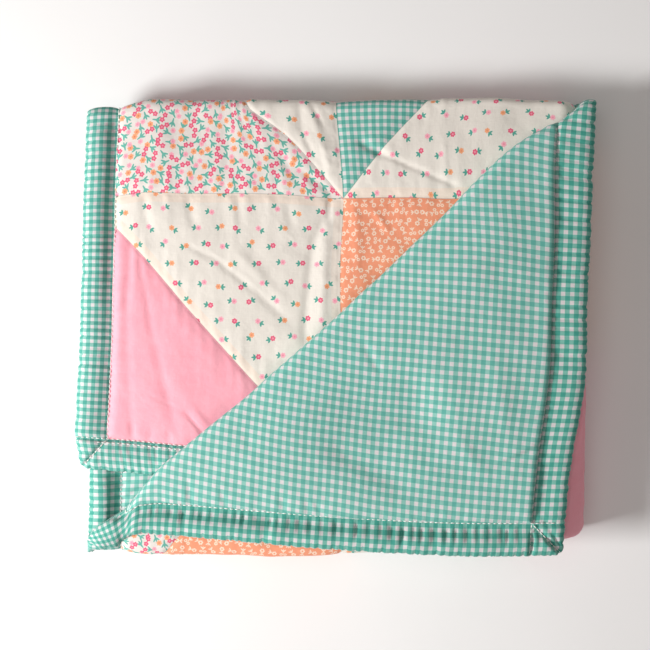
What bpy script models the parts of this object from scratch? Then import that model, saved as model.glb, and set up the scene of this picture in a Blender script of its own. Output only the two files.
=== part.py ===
"""A padded patchwork quilt, folded, with its gingham back turned up over one corner.

The quilt is drawn flat: u runs across its width, v along its length from the hem that ends up on
top of the stack, and w through its thickness, patchwork side up.  Each piece is a closed padded
slab of that flat drawing, cut along the lines where the cloth bends.  lay() then carries every
point to where it lies: the length folded in three, the free corner of the top layer turned back
along a diagonal, and the whole stack folded in half underneath along its right side.
"""
import math

import bmesh
import bpy
import numpy as np
from mathutils import Vector

# The flat quilt, in metres.
WIDTH = 1.000
LENGTH = 1.300
BORDER = 0.030          # visible width of the padded border strips
GAP = 0.0003            # clearance between neighbouring pieces

# The padding.
HALF = 0.0042           # half the thickness of the filled quilt
SEAM_HALF = 0.0017      # half the thickness where it is stitched down
EDGE_HALF = 0.0012      # half the thickness of the border's rounded outer edge
CROWN = 0.028           # how far from a seam the filling reaches full thickness

# The folded stack.  Layers are counted up from the table: three underneath, three on top,
# and the turned corner above them.
PITCH = 0.010           # height that each layer takes
MIDDLE = 3 * PITCH      # level of the sheet's turn under at the right side
TOP_TURN = PITCH / 2    # bend radius of the far fold, at mid thickness
FOOT_TURN = PITCH       # bend radius of the near fold, which runs round the hem layer
SIDE_TURN = 2.5 * PITCH     # bend radius of the right fold on the outermost layer
UNDER_GATHER = 0.965    # how much the cloth of the underneath half is gathered
CORNER_TURN = PITCH / 2     # bend radius of the turned corner

# Lengths of cloth in the three layers; the last one takes what is left.
HEM_LAYER = 0.343
MIDDLE_LAYER = 0.460

# Places in plan.
FAR_Y = 0.2105          # axis of the far fold
HEM_Y = -0.1400         # free hem of the upper layer
FOOT_Y = -0.2090        # axis of the near fold at its left end
FOOT_RISE = 0.016       # how much further away that fold lies at the right side
LEFT_X = -0.2320        # left edge of the layers
SIDE_X = 0.2250         # axis of the right fold at the near fold
SIDE_LEAN = 0.008       # how much that axis leans to the right for each metre away
THIRD_LEAN = 0.111      # how much the third layer leans to the right for each metre of its length
THIRD_SHRINK = 0.916    # how much the third layer is gathered along its length

# The turned corner: the bend starts on this line of the third layer, given as distances from the
# quilt's left edge and from the near fold, and the corner's tip comes to rest at TIP.
BEND_START = (0.0, 0.0015)
BEND_END = (0.450, 0.450)
TIP = (0.2275, -0.2180)
OVERHANG = 0.010        # the corner starts to droop this far inside the right fold
DROOP = 7.0             # its drop for each square metre of overhang

TOP_BEND = HEM_LAYER
MIDDLE_START = TOP_BEND + math.pi * TOP_TURN
FOOT_BEND = MIDDLE_START + MIDDLE_LAYER
THIRD_START = FOOT_BEND + math.pi * FOOT_TURN
SIDE_CLOTH = math.pi * SIDE_TURN

# How far the left edge stands off LEFT_X, along the length.
LEFT_EDGE = (
    # v, offset
    (0.000, -0.0060),
    (0.034, -0.0110),
    (0.126, -0.0060),
    (0.263, -0.0025),
    (0.350, 0.0010),
    (0.480, 0.0060),
    (0.700, 0.0030),
    (0.800, 0.0010),
    (0.850, 0.0000),
)
# How far the right edge, which ends up underneath, stands off its straight line.
RIGHT_EDGE = (
    # v, offset
    (0.000, -0.0030),
    (0.150, 0.0020),
    (0.300, -0.0030),
    (0.420, -0.0060),
    (0.600, -0.0010),
    (0.820, -0.0040),
    (1.000, 0.0010),
    (1.300, -0.0040),
)
# How far the far fold stands off FAR_Y, across the width.
FAR_EDGE = (
    # u, offset
    (0.000, -0.0080),
    (0.030, -0.0060),
    (0.060, 0.0000),
    (0.240, -0.0010),
    (0.360, 0.0025),
    (0.460, 0.0000),
    (0.520, -0.0030),
    (0.800, 0.0015),
    (1.000, -0.0070),
)
# How far the free hem stands off HEM_Y, across the width.
HEM_EDGE = (
    # u, offset
    (0.000, 0.0010),
    (0.040, -0.0020),
    (0.100, -0.0080),
    (0.300, -0.0060),
    (0.600, -0.0020),
    (1.000, 0.0010),
)
# Soft rises and hollows that every layer above the table shares, in full on the topmost one.
SWELLS = (
    # x, y, reach in x, reach in y, height
    (0.060, -0.085, 0.050, 0.045, -0.0040),
    (0.150, 0.020, 0.070, 0.090, 0.0030),
    (-0.060, -0.130, 0.080, 0.040, 0.0025),
    (0.010, 0.120, 0.022, 0.024, -0.0050),
    (-0.120, 0.060, 0.075, 0.085, 0.0025),
    (-0.150, -0.060, 0.050, 0.060, 0.0020),
    (0.130, 0.160, 0.060, 0.030, 0.0025),
)
# Sideways shifts of the upper layers.
SHIFTS = (
    # x, y, reach, shift in x, shift in y, lowest level that moves
    (-0.205, -0.190, 0.045, 0.0060, 0.0000, 0.045),
    (-0.120, -0.120, 0.100, 0.0025, -0.0030, 0.050),
    (0.130, 0.125, 0.090, -0.0090, 0.0100, 0.050),
    (0.000, -0.240, 0.110, 0.0000, -0.0060, 0.052),
    (0.140, -0.240, 0.100, 0.0000, -0.0060, 0.056),
    (0.250, 0.040, 0.170, 0.0050, 0.0000, 0.052),
    (0.265, 0.190, 0.070, 0.0030, 0.0000, 0.052),
    (0.018, 0.120, 0.050, 0.0020, -0.0055, 0.020),
)


def column(table, index):
    return np.array([row[index] for row in table])


def along(table, values):
    """Read an offset table at the given places."""
    return np.interp(values, column(table, 0), column(table, 1))


def ease(values, start, end):
    t = np.clip((values - start) / (end - start), 0.0, 1.0)
    return t * t * (3.0 - 2.0 * t)


def third_layer(u, q):
    """Plan of the third layer: q runs from the near fold along the quilt's length."""
    lean = THIRD_LEAN * np.clip((WIDTH - u) / (0.55 * WIDTH), 0.0, 1.0)
    climb = FOOT_RISE * ease(np.minimum(u, WIDTH - u), 0.15 * WIDTH, 0.5 * WIDTH)
    return LEFT_X + u + lean * q, FOOT_Y + climb + THIRD_SHRINK * q


def fold_in_three(u, v, w):
    far = FAR_Y + along(FAR_EDGE, u)
    hem = HEM_Y + along(HEM_EDGE, u)
    foot = third_layer(u, 0.0)[1]
    far_angle = np.clip((v - TOP_BEND) / TOP_TURN, 0.0, math.pi)
    foot_angle = np.clip((v - FOOT_BEND) / FOOT_TURN, 0.0, math.pi)
    layers = [v < TOP_BEND, v < MIDDLE_START, v < FOOT_BEND, v < THIRD_START]
    third_x, third_y = third_layer(u, np.maximum(v - THIRD_START, 0.0))
    y = np.select(layers, [
        hem + (far - hem) * v / HEM_LAYER,
        far + (TOP_TURN + w) * np.sin(far_angle),
        far - (far - foot) * (v - MIDDLE_START) / MIDDLE_LAYER,
        foot - (FOOT_TURN + w) * np.sin(foot_angle),
    ], third_y)
    z = np.select(layers, [
        MIDDLE + 1.5 * PITCH + w,
        MIDDLE + PITCH + (TOP_TURN + w) * np.cos(far_angle),
        MIDDLE + PITCH / 2 - w,
        MIDDLE + 1.5 * PITCH - (FOOT_TURN + w) * np.cos(foot_angle),
    ], MIDDLE + 2.5 * PITCH + w)
    edge = along(LEFT_EDGE, v) * (1.0 - ease(u, 0.0, 0.25 * WIDTH))
    edge = edge + along(RIGHT_EDGE, v) * ease(u, 0.75 * WIDTH, WIDTH)
    x = np.where(v < THIRD_START, LEFT_X + u, third_x) + edge
    return x, y, z


def turn_corner(u, v, w, x, y, z):
    """Turn the free corner of the third layer back over the stack; also return how far it has turned."""
    start, end = Vector(BEND_START), Vector(BEND_END)
    run = (end - start).normalized()
    q = v - THIRD_START
    past = (q - start.y) * run.x - (u - start.x) * run.y
    reach = (u - start.x) * run.x + (q - start.y) * run.y

    foot = Vector(third_layer(start.x, start.y))
    head = Vector(third_layer(end.x, end.y))
    out = Vector((foot.y - head.y, head.x - foot.x)).normalized()
    corner = Vector((0.0, LENGTH - THIRD_START)) - start
    corner_past = corner.y * run.x - corner.x * run.y
    beside = start + run * corner.dot(run)
    back = Vector(TIP) - Vector(third_layer(beside.x, beside.y))
    back /= corner_past - math.pi * CORNER_TURN

    angle = np.clip(past / CORNER_TURN, 0.0, math.pi)
    bulge = (CORNER_TURN - w) * np.sin(angle)
    flat = np.maximum(past - math.pi * CORNER_TURN, 0.0)
    moved = (q > 0.0) & (past > 0.0)
    line_x, line_y = third_layer(start.x + run.x * reach, start.y + run.y * reach)
    x = np.where(moved, line_x + out.x * bulge + back.x * flat, x)
    y = np.where(moved, line_y + out.y * bulge + back.y * flat, y)
    level = MIDDLE + 2.5 * PITCH + CORNER_TURN - (CORNER_TURN - w) * np.cos(angle)
    return x, y, np.where(moved, level, z), np.where(moved, angle / math.pi, 0.0)


def fold_under(x, y, z, turned):
    """Fold the stack in half underneath; the turned corner only droops over the side."""
    axis = SIDE_X + SIDE_LEAN * (y - FOOT_Y)
    angle = np.clip((x - axis) / SIDE_TURN, 0.0, math.pi)
    height = z - MIDDLE
    beyond = np.maximum(x - axis - SIDE_CLOTH, 0.0)
    side_x = np.where(x > axis, axis + height * np.sin(angle) - UNDER_GATHER * beyond, x)
    side_z = MIDDLE + height * np.cos(angle)
    droop = DROOP * np.maximum(x - axis + OVERHANG, 0.0) ** 2
    loose = ease(turned, 0.0, 1.0)
    return side_x + (x - side_x) * loose, y, side_z + (z - droop - side_z) * loose


def settle(x, y, z):
    """Give the stack its uneven surface and outline."""
    for near_x, near_y, reach, shift_x, shift_y, lowest in SHIFTS:
        pull = np.exp(-((x - near_x) ** 2 + (y - near_y) ** 2) / reach ** 2)
        pull = pull * ease(z, lowest - 0.6 * PITCH, lowest + 0.6 * PITCH)
        x, y = x + shift_x * pull, y + shift_y * pull
    level = np.clip((z - PITCH) / (6 * PITCH), 0.0, 1.0) ** 1.5
    for near_x, near_y, reach_x, reach_y, height in SWELLS:
        z = z + height * level * np.exp(-((x - near_x) / reach_x) ** 2 - ((y - near_y) / reach_y) ** 2)
    return x, y, z


def lay(u, v, w):
    x, y, z = fold_in_three(u, v, w)
    x, y, z, turned = turn_corner(u, v, w, x, y, z)
    x, y, z = fold_under(x, y, z, turned)
    return settle(x, y, z)


def panel_half(u, v):
    """Half thickness of the filled panel, drawn in where the border is stitched to it."""
    inside = np.minimum(np.minimum(u, WIDTH - u), np.minimum(v, LENGTH - v)) - BORDER
    rise = np.sqrt(np.clip(inside / CROWN, 0.0, 1.0) * (2.0 - np.clip(inside / CROWN, 0.0, 1.0)))
    return SEAM_HALF + (HALF - SEAM_HALF) * rise


def border_half(u, v):
    """Half thickness of a border strip: low at the seam, full in its middle, rounded at the edge."""
    inside = np.minimum(np.minimum(u, WIDTH - u), np.minimum(v, LENGTH - v))
    t = np.clip(inside / BORDER, 0.0, 1.0)
    full = HALF - 0.0002
    outer = EDGE_HALF + (full - EDGE_HALF) * np.sqrt(np.clip(t / 0.4, 0.0, 1.0))
    inner = SEAM_HALF + (full - SEAM_HALF) * np.sqrt(np.clip((1.0 - t) / 0.5, 0.0, 1.0))
    return np.minimum(outer, inner)


def bend_lines():
    """Lines that cut the flat drawing, each a point and a normal, so that every bend is smooth."""
    lines = []
    for u in (0.055, 0.10, 0.17, 0.25, 0.33, 0.39, 0.55, 0.62, 0.72, 0.82, 0.90, 0.945):
        lines.append(((u, 0.0), (1.0, 0.0)))
    for step in range(11):
        lines.append(((0.418 + step * 0.0125, 0.0), (1.0, 0.0)))
    for v in (0.055, 0.12, 0.19, 0.26, 0.31, 0.45, 0.55, 0.65, 0.75, 0.90, 0.96, 1.03, 1.10, 1.17, 1.245):
        lines.append(((0.0, v), (0.0, 1.0)))
    for start, radius, steps in ((TOP_BEND, TOP_TURN, 6), (FOOT_BEND, FOOT_TURN, 8)):
        for step in range(steps + 1):
            lines.append(((0.0, start + math.pi * radius * step / steps), (0.0, 1.0)))
    return lines


def corner_lines():
    """Diagonal lines across the turned corner's bend."""
    start, end = Vector(BEND_START), Vector(BEND_END)
    run = (end - start).normalized()
    out = Vector((-run.y, run.x))
    steps = 6
    for step in range(steps + 1):
        point = start + out * (math.pi * CORNER_TURN * step / steps)
        yield (point.x, point.y + THIRD_START), (out.x, out.y)


def flat_mesh(outline, extra_lines):
    """A flat polygon, cut along the bend lines; the diagonals cut only the third layer."""
    mesh = bmesh.new()
    mesh.faces.new([mesh.verts.new((u, v, 0.0)) for u, v in outline])
    for (u, v), (nu, nv) in bend_lines() + extra_lines:
        parts = mesh.verts[:] + mesh.edges[:] + mesh.faces[:]
        bmesh.ops.bisect_plane(mesh, geom=parts, dist=1e-6, plane_co=(u, v, 0), plane_no=(nu, nv, 0))
    for (u, v), (nu, nv) in corner_lines():
        faces = [f for f in mesh.faces if f.calc_center_median().y > THIRD_START]
        edges = {e for f in faces for e in f.edges}
        verts = {p for f in faces for p in f.verts}
        parts = list(verts) + list(edges) + faces
        bmesh.ops.bisect_plane(mesh, geom=parts, dist=1e-6, plane_co=(u, v, 0), plane_no=(nu, nv, 0))
    bmesh.ops.triangulate(mesh, faces=mesh.faces[:])
    return mesh


def padded_piece(name, outline, half_thickness, extra_lines, material):
    """Give the flat drawing its thickness, close its sides, and lay it in the stack."""
    mesh = flat_mesh(outline, extra_lines)
    top = mesh.faces[:]
    rim = [e for e in mesh.edges if e.is_boundary]
    copy = bmesh.ops.duplicate(mesh, geom=mesh.verts[:] + mesh.edges[:] + top)
    twin = copy["vert_map"]
    under = {twin[p] for f in top for p in f.verts}
    for a, b in [e.verts[:] for e in rim]:
        mesh.faces.new((a, b, twin[b], twin[a]))
    bmesh.ops.reverse_faces(mesh, faces=[f for f in copy["geom"] if isinstance(f, bmesh.types.BMFace)])
    u = np.array([p.co.x for p in mesh.verts])
    v = np.array([p.co.y for p in mesh.verts])
    side = np.array([-1.0 if p in under else 1.0 for p in mesh.verts])
    places = np.stack(lay(u, v, side * half_thickness(u, v)), axis=1)
    for point, place in zip(mesh.verts, places):
        point.co = place
    bmesh.ops.triangulate(mesh, faces=[f for f in mesh.faces if len(f.verts) > 3])
    bmesh.ops.recalc_face_normals(mesh, faces=mesh.faces[:])
    if mesh.calc_volume(signed=True) < 0.0:
        bmesh.ops.reverse_faces(mesh, faces=mesh.faces[:])
    data = bpy.data.meshes.new(name)
    mesh.to_mesh(data)
    mesh.free()
    data.materials.append(material)
    piece = bpy.data.objects.new(name, data)
    bpy.context.scene.collection.objects.link(piece)
    return piece


def fabric(name, colour, roughness):
    material = bpy.data.materials.new(name)
    material.use_nodes = True
    shader = material.node_tree.nodes["Principled BSDF"]
    shader.inputs["Base Color"].default_value = (*colour, 1.0)
    shader.inputs["Roughness"].default_value = roughness
    shader.inputs["Metallic"].default_value = 0.0
    return material


def border_lines(sign_u, sign_v):
    """Lines along a border strip that give its section a rounded form."""
    lines = []
    for part in (0.14, 0.40, 0.72):
        inset = BORDER * part
        if sign_u:
            lines.append(((inset if sign_u < 0 else WIDTH - inset, 0.0), (1.0, 0.0)))
        if sign_v:
            lines.append(((0.0, inset if sign_v < 0 else LENGTH - inset), (0.0, 1.0)))
    return lines


def border_strip(name, sign_u, sign_v, material):
    """One strip along a side of the quilt, with its ends mitred at the corners."""
    inner = BORDER - GAP
    trim = GAP              # the mitres leave this much between neighbouring strips
    corners = [(0.0, trim), (inner, inner + trim)]
    if sign_v:
        corners = [(trim, 0.0), (inner + trim, inner)]
    if sign_u:
        outline = [corners[0], corners[1], (corners[1][0], LENGTH - corners[1][1]),
                   (corners[0][0], LENGTH - corners[0][1])]
        if sign_u > 0:
            outline = [(WIDTH - u, v) for u, v in outline]
    else:
        outline = [corners[0], corners[1], (WIDTH - corners[1][0], corners[1][1]),
                   (WIDTH - corners[0][0], corners[0][1])]
        if sign_v > 0:
            outline = [(u, LENGTH - v) for u, v in outline]
    return padded_piece(name, outline, border_half, border_lines(sign_u, sign_v), material)


def stand_on_origin(pieces):
    """Put the origin at the middle of the underside."""
    points = [p.co for piece in pieces for p in piece.data.vertices]
    low = [min(p[axis] for p in points) for axis in range(3)]
    high = [max(p[axis] for p in points) for axis in range(3)]
    shift = Vector((-(low[0] + high[0]) / 2, -(low[1] + high[1]) / 2, -low[2]))
    for piece in pieces:
        for p in piece.data.vertices:
            p.co += shift


def build():
    for old in list(bpy.data.objects):
        bpy.data.objects.remove(old, do_unlink=True)
    patchwork = fabric("patchwork_cotton", (0.86, 0.62, 0.58), 0.85)
    gingham = fabric("gingham_cotton", (0.26, 0.50, 0.43), 0.85)
    edge = BORDER
    outline = [(edge, edge), (WIDTH - edge, edge), (WIDTH - edge, LENGTH - edge), (edge, LENGTH - edge)]
    pieces = [padded_piece("quilt_panel", outline, panel_half, [], patchwork)]
    for name, sign_u, sign_v in (
        ("border_left", -1, 0),
        ("border_right", 1, 0),
        ("border_hem", 0, -1),
        ("border_corner_end", 0, 1),
    ):
        pieces.append(border_strip(name, sign_u, sign_v, gingham))
    stand_on_origin(pieces)


build()
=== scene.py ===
"""The folded patchwork quilt's looks.

The quilt is drawn flat, u across its width and v along its length, and lay() folds that drawing as
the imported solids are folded.  Over it go the pieced patches with their seams, the gingham backing,
the padded borders with their gathers, and the sewing thread.
"""
import math
from functools import partialmethod

import bmesh
import bpy
import numpy as np
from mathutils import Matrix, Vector


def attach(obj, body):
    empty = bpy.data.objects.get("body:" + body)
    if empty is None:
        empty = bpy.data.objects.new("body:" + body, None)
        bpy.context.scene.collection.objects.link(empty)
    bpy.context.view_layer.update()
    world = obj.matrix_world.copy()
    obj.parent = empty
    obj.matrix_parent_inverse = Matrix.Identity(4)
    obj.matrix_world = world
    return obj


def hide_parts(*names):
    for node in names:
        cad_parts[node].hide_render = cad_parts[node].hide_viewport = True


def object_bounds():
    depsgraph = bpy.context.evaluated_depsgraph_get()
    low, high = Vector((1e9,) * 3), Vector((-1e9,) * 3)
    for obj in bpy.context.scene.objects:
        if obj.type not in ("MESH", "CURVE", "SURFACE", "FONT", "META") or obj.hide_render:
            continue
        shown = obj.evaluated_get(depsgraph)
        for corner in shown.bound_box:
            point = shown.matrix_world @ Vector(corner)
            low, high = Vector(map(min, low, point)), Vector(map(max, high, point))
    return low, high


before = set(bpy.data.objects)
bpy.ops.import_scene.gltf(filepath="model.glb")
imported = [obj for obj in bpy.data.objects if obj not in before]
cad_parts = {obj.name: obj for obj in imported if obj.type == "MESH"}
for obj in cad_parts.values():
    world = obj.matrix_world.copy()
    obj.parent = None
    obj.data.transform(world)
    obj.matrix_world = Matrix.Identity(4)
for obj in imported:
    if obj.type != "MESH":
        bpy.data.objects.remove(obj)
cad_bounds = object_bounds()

# ----------------------------------------
# The fold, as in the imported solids.  Metres.
WIDTH = 1.000
LENGTH = 1.300
BORDER = 0.030
HALF = 0.0042  # half thickness of the padding
SEAM_HALF = 0.0017  # and where it meets a seam
STITCHED_HALF = 0.0007  # and right under the stitches
CROWN = 0.028  # how far in from the border the padding is full
PITCH = 0.010  # from one layer to the next
MIDDLE = 3 * PITCH
TOP_TURN = PITCH / 2
FOOT_TURN = PITCH
SIDE_TURN = 2.5 * PITCH
CORNER_TURN = PITCH / 2
UNDER_GATHER = 0.965  # how far the underneath half reaches for its length of cloth
HEM_LAYER = 0.343
MIDDLE_LAYER = 0.460
FAR_Y = 0.2105
HEM_Y = -0.1400
FOOT_Y = -0.2090
FOOT_RISE = 0.016
LEFT_X = -0.2320
SIDE_X = 0.2250
SIDE_LEAN = 0.008
THIRD_LEAN = 0.111
THIRD_SHRINK = 0.916
BEND_START = Vector((0.0, 0.0015))
BEND_END = Vector((0.450, 0.450))
BEND_RUN = (BEND_END - BEND_START).normalized()
TIP = (0.2275, -0.2180)  # where the quilt's corner lies once turned back
OVERHANG = 0.010  # from this far inside the right fold the corner droops
DROOP = 2.2
MIDDLE_START = HEM_LAYER + math.pi * TOP_TURN
FOOT_BEND = MIDDLE_START + MIDDLE_LAYER
THIRD_START = FOOT_BEND + math.pi * FOOT_TURN
STACK_MIDDLE = (0.00873, -0.00113, 0.0008)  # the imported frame's origin, in the fold's own axes

SIDE_REACH = 0.25 * WIDTH  # how far in from a side its shape dies out
# How far the sides stray from straight lines: place along the side, offset.
LEFT_EDGE = (
    (0, -0.006), (0.034, -0.011), (0.126, -0.006), (0.263, -0.0025), (0.35, 0.001), (0.48, 0.006),
    (0.7, 0.003), (0.8, 0.001), (0.85, 0),
)
RIGHT_EDGE = (
    (0, -0.003), (0.15, 0.002), (0.3, -0.003), (0.42, -0.006), (0.6, -0.001), (0.82, -0.004), (1, 0.001),
    (1.3, -0.004),
)
FAR_EDGE = (
    (0, -0.008), (0.03, -0.006), (0.06, 0), (0.24, -0.001), (0.36, 0.0025), (0.46, 0), (0.52, -0.003),
    (0.8, 0.0015), (1, -0.007),
)
HEM_EDGE = ((0, 0.001), (0.04, -0.0025), (0.1, -0.0095), (0.3, -0.0075), (0.6, -0.002), (1, 0.001))
# Wide bumps and hollows of the stack: x, y, reach in x, reach in y, height.
SWELLS = (
    (0.06, -0.085, 0.05, 0.045, -0.004), (0.15, 0.02, 0.07, 0.09, 0.003),
    (-0.06, -0.13, 0.08, 0.04, 0.0025), (0.01, 0.12, 0.022, 0.024, -0.005),
    (-0.12, 0.06, 0.075, 0.085, 0.0025), (-0.15, -0.06, 0.05, 0.06, 0.002),
    (0.13, 0.16, 0.06, 0.03, 0.0025),
)
# Where the layers are pushed along: x, y, reach, shift in x, shift in y, lowest level that moves.
SHIFTS = (
    (-0.205, -0.19, 0.045, 0.006, 0, 0.045), (-0.085, -0.075, 0.045, 0.0008, -0.0012, 0.05),
    (0.11, 0.105, 0.124, -0.005, 0.0057, 0.05), (0.179, 0.1655, 0.059, -0.006, 0.0077, 0.05),
    (0, -0.24, 0.11, 0, -0.006, 0.052), (0.14, -0.24, 0.1, 0, -0.006, 0.056),
    (0.25, 0.04, 0.17, 0.005, 0, 0.052), (0.265, 0.19, 0.07, 0.0045, 0, 0.052),
    (0.018, 0.12, 0.05, 0.002, -0.0055, 0.02), (0.258, 0.085, 0.08, 0.0045, 0, 0.052),
    (0.25, -0.05, 0.065, 0.008, 0, 0.052), (-0.215, -0.225, 0.03, 0, 0.0045, -0.01),
)
CORNER_RADIUS = 0.008
# A point and the slope of the straight line that the turned corner's folded edge follows in plan.
FLAP_EDGE = (-0.2299, -0.2084)
FLAP_SLOPE = 0.876
# The corner's sharp end rolls over the near fold.  Its outline in plan as folded flat, and once it
# has rolled: x, folded edge in y, lower rim in y.
ROLL_FROM = (
    (-0.225, -0.1925, -0.196), (-0.2169, -0.1868, -0.196), (-0.2094, -0.1817, -0.196),
    (-0.2007, -0.1756, -0.196), (-0.1932, -0.1697, -0.1962), (-0.182, -0.1603, -0.1975),
    (-0.172, -0.1492, -0.1988), (-0.1595, -0.1384, -0.2005),
)
ROLL_TO = (
    (-0.2299, -0.2035, -0.211), (-0.2281, -0.201, -0.2128), (-0.2219, -0.1979, -0.216),
    (-0.2119, -0.1929, -0.2165), (-0.1994, -0.186, -0.2135), (-0.197, -0.1843, -0.209),
    (-0.1895, -0.1788, -0.2029), (-0.1856, -0.1725, -0.201), (-0.182, -0.1667, -0.1998),
    (-0.1769, -0.159, -0.1985), (-0.172, -0.153, -0.1988), (-0.1664, -0.1463, -0.1996),
    (-0.1595, -0.1384, -0.2005),
)
ROLL_REACH = 0.0048  # how much further the sharp end reaches once rolled
ROLL_REACH_ENDS = (-0.2250, -0.2040)
ROLL_DROP = 0.0115  # how far its rim drops
ROLL_DROP_ENDS = (-0.2000, -0.1800)
OUTLINE_SOFTENING = (-0.0024, -0.0012, 0.0, 0.0012, 0.0024)
# Where the border's weave follows the roll, over what distance it starts to, and its seam there.
CURL_START = -0.1840
CURL_ONSET = 0.008
CURL_SEAM_Y = -0.1705
CURL_FULL = 0.045
CURL_RIMS = (-0.2005, -0.1705)  # y of the rim and of the seam where the weave is joined on

# ----------------------------------------
# Details that only the looks have.
HEM_LEVEL = MIDDLE + 1.5 * PITCH  # mid thickness of the hem layer on top of the stack
FLAP_LEVEL = MIDDLE + 3.5 * PITCH  # and of the turned corner
UNDER_LEVEL = MIDDLE + 0.5 * PITCH  # and of the layer under the hem layer

# Creases and soft folds, pressed into the surfaces that face up at each level, in millimetres:
# x0, y0, x1, y1, half width, height.  A height below 0 is a trough.
STEP = 1.6  # marks a crease that is a step, high on the left of its direction
CREASES = {
    HEM_LEVEL: (
        (34, 177.5, 59.2, 163.9, 4.2, -3), (59.2, 163.9, 84.4, 153.3, 2, -1.6),
        (84.4, 153.3, 129, 133.9, 2.6, -1.5), (115.4, 179.4, 117.4, 136.8, 2, 0.6),
        (67.9, 160, 65, 129, 1.8, 0.6), (-24.3, 214.4, -22.3, 187.2, 3.5, -1.4),
        (-22.3, 187.2, -8.7, 160, 3, -1), (-13.6, 215.3, -1.9, 193, 2.5, -1),
        (-12.6, 204.7, 5.8, 148.4, 4, 1), (5.8, 123.2, 2.9, 99.9, 1.6, -1.8),
        (1, 108.6, -11.6, 77.6, 3.8, -1.2), (-11.6, 77.6, -17.5, 24.3, 4.2, -1.5),
        (-17.5, 24.3, -19.4, -19.4, 4.5, -1.5), (1, 90.2, -3.9, -6.8, 4.8, 1.4),
        (-132.9, 76.6, -104.8, 63.1, 2.6, -0.8), (-104.8, 63.1, -76.6, 39.8, 3.2, -1),
        (-76.6, 39.8, -37.8, 6.8, 4, -1), (-86.3, 70.8, -41.7, 26.2, 4.8, 0.8),
        (-86.3, 123.2, -91.2, 51.4, 1.6, 0.4), (-174.6, 124.2, -171.7, 90.2, 4.8, -1),
        (-133.9, 125.1, -128, 98, 4.5, -1.1), (-84.4, 126.1, -80.5, 96, 4.5, -0.8),
        (-40.7, 121.3, -31, 96, 4.8, -0.8), (-53.4, 107.7, -27.2, 79.5, 1.2, 0.3),
        (-27.2, 89.2, -60.1, 55.3, 1.2, 0.4), (-188.2, 78.6, -192.1, 18.4, 3.4, -1.2),
        (-192.1, 18.4, -188.2, -107.7, 4.2, -0.9), (-179.4, 63.1, -167.8, -6.8, 3.2, -0.9),
        (-167.8, -6.8, -144.5, -101.9, 5, -0.9), (-198.8, 61.1, -202.7, -101.9, 4, 0.9),
        (-186.2, -96, -188.2, -112.5, 2, -1.4), (-168.8, -101.9, -170.7, -113.5, 2, -1.2),
        (-151.3, -103.8, -153.3, -114.5, 2, -1.2), (-133.9, -85.4, -118.3, -105.7, 1.5, -1.8),
        (-128, -80.5, -112.5, -99.9, 2.6, 0.8), (-169.8, -67.9, -138.7, -83.4, 1.2, -0.4),
        (-125.1, -111.6, -82.5, -74.7, 11, -2.2), (-28.1, 152.3, 12.6, 124.2, 4.2, -1.8),
        (-96, 200.8, -93.1, 134.8, 7, -0.8), (-160, 208.6, -162, 134.8, 8, 0.8),
        (-48.5, 173.6, -23.3, 134.8, 5, -1.2), (29.1, 121.3, 32, 51.4, 5, 1.2),
        (46.6, 111.6, 63.1, 88.3, 3.2, 1),
    ),
    FLAP_LEVEL: (
        (167.6, -131.2, 202.1, -115.9, 3, 2.6, STEP), (-130.3, -148.5, -129.3, -169.6, 1.3, -2.4),
        (-98.7, -154.2, -96.8, -173.4, 1.8, -1.4), (-42.2, -146.6, -39.3, -179.1, 2.8, -1.6),
        (-19.2, -158.1, -15.3, -183, 2.4, -1.4), (-8.6, -167.6, -2.9, -186.8, 2, -1.4),
        (-71.8, -110.2, -60.4, -167.6, 6, -1.2), (85.1, -50.8, 88, -98.7, 20, -3.4),
        (2.9, -115.9, 75.7, -152.3, 12, -2), (37.4, -19.2, 52.7, -45, 4, -1.2),
        (119.9, -45, 123.8, -106.3, 16, 0.6), (125.5, -108.3, 152.3, -142.7, 8, 1),
        (208.4, -184.9, 225.1, -211.7, 1.1, -2), (205, -186, 220, -211, 1.6, 0.6),
        (138.9, 33.5, 142.7, 12.5, 4, -1), (163.8, -33.5, 172.4, -100.6, 11, 1.2),
    ),
    UNDER_LEVEL: (
        (-197.5, -189.7, -155.6, -143, 15, -1.6), (-201, -174, -180, -159, 1.6, -1.2),
        (-198.5, -183, -190, -176, 1.6, -1), (-201, -158, -185, -150, 3, -1.6),
    ),
}

# Border strips.  Their thickness differs by face: axis the strip runs along, its end, face.
SECTION = 15  # points across one face of a strip
STRIP_STEP = 0.0015  # spacing of the points along it
STRIP_TIP = 0.0004  # how much of a mitred tip is left off
STRIP_LAP = 0.0003  # how far a strip reaches past its seam
CROSS_HALF = 0.0020  # half thickness under the stitches that cross a strip's end
MITRE_HALF = 0.0030  # and under its mitre
# How strongly the strips are gathered, by the place along them.
GATHERS = {
    "v": ((0, 0.6), (0.6, 0.6), (0.86, 0.6), (0.95, 1), (1.02, 1.2), (1.14, 1.4), (1.3, 1.8)),
    "u": ((0, 0.6), (1, 0.6)),
}
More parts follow.
